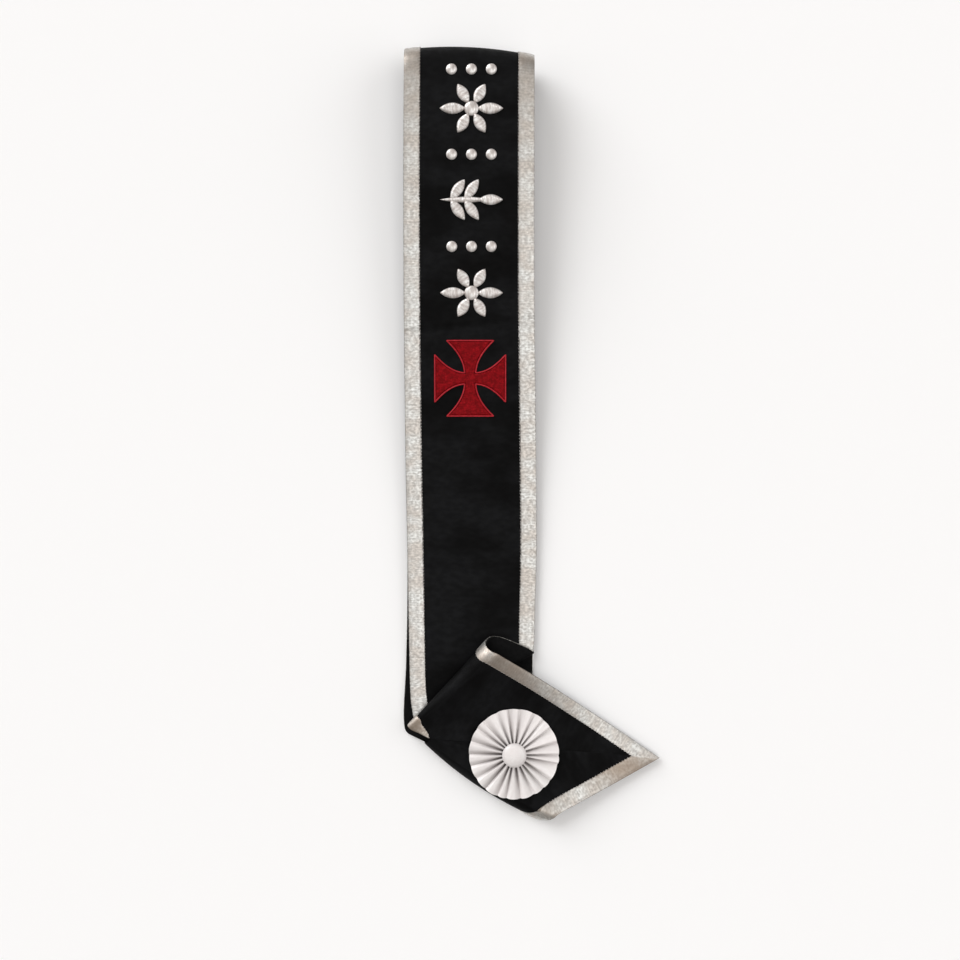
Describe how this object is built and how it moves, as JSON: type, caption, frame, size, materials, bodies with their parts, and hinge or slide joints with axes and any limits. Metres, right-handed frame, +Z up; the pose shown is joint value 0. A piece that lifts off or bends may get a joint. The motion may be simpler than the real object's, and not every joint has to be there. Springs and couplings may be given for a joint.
{
  "type": "masonic sash",
  "caption": "Black ribbon sash with silver braid edges, an embroidered cross and a pleated rosette, folded and lying flat.",
  "frame": {"origin": "on the surface that the sash lies on, under the middle of its outline", "axes": "+X towards the tip, +Y along the ribbon towards the rolled end, +Z up"},
  "size_m": [0.2252, 0.6741, 0.043],
  "materials": {
    "black_ribbon": "black ribbed watered silk ribbon",
    "silver_braid": "woven silver metallic braid, slightly warm",
    "silver_thread": "padded silver-white satin stitch",
    "red_thread": "dark crimson fill embroidery",
    "red_cord": "bright red satin-stitched outline",
    "white_satin": "white satin ribbon, slightly pink"
  },
  "bodies": {
    "root": {"ribbon_band": "black_ribbon", "outer_braid": "silver_braid", "inner_braid": "silver_braid", "cross_field": "red_thread", "cross_outline": "red_cord", "top_flower": "silver_thread", "middle_twig": "silver_thread", "lower_flower": "silver_thread", "dot_1_1": "silver_thread", "dot_1_2": "silver_thread", "dot_1_3": "silver_thread", "dot_2_1": "silver_thread", "dot_2_2": "silver_thread", "dot_2_3": "silver_thread", "dot_3_1": "silver_thread", "dot_3_2": "silver_thread", "dot_3_3": "silver_thread", "rosette_pleats": "white_satin", "rosette_button": "white_satin"}
  },
  "joints": []
}
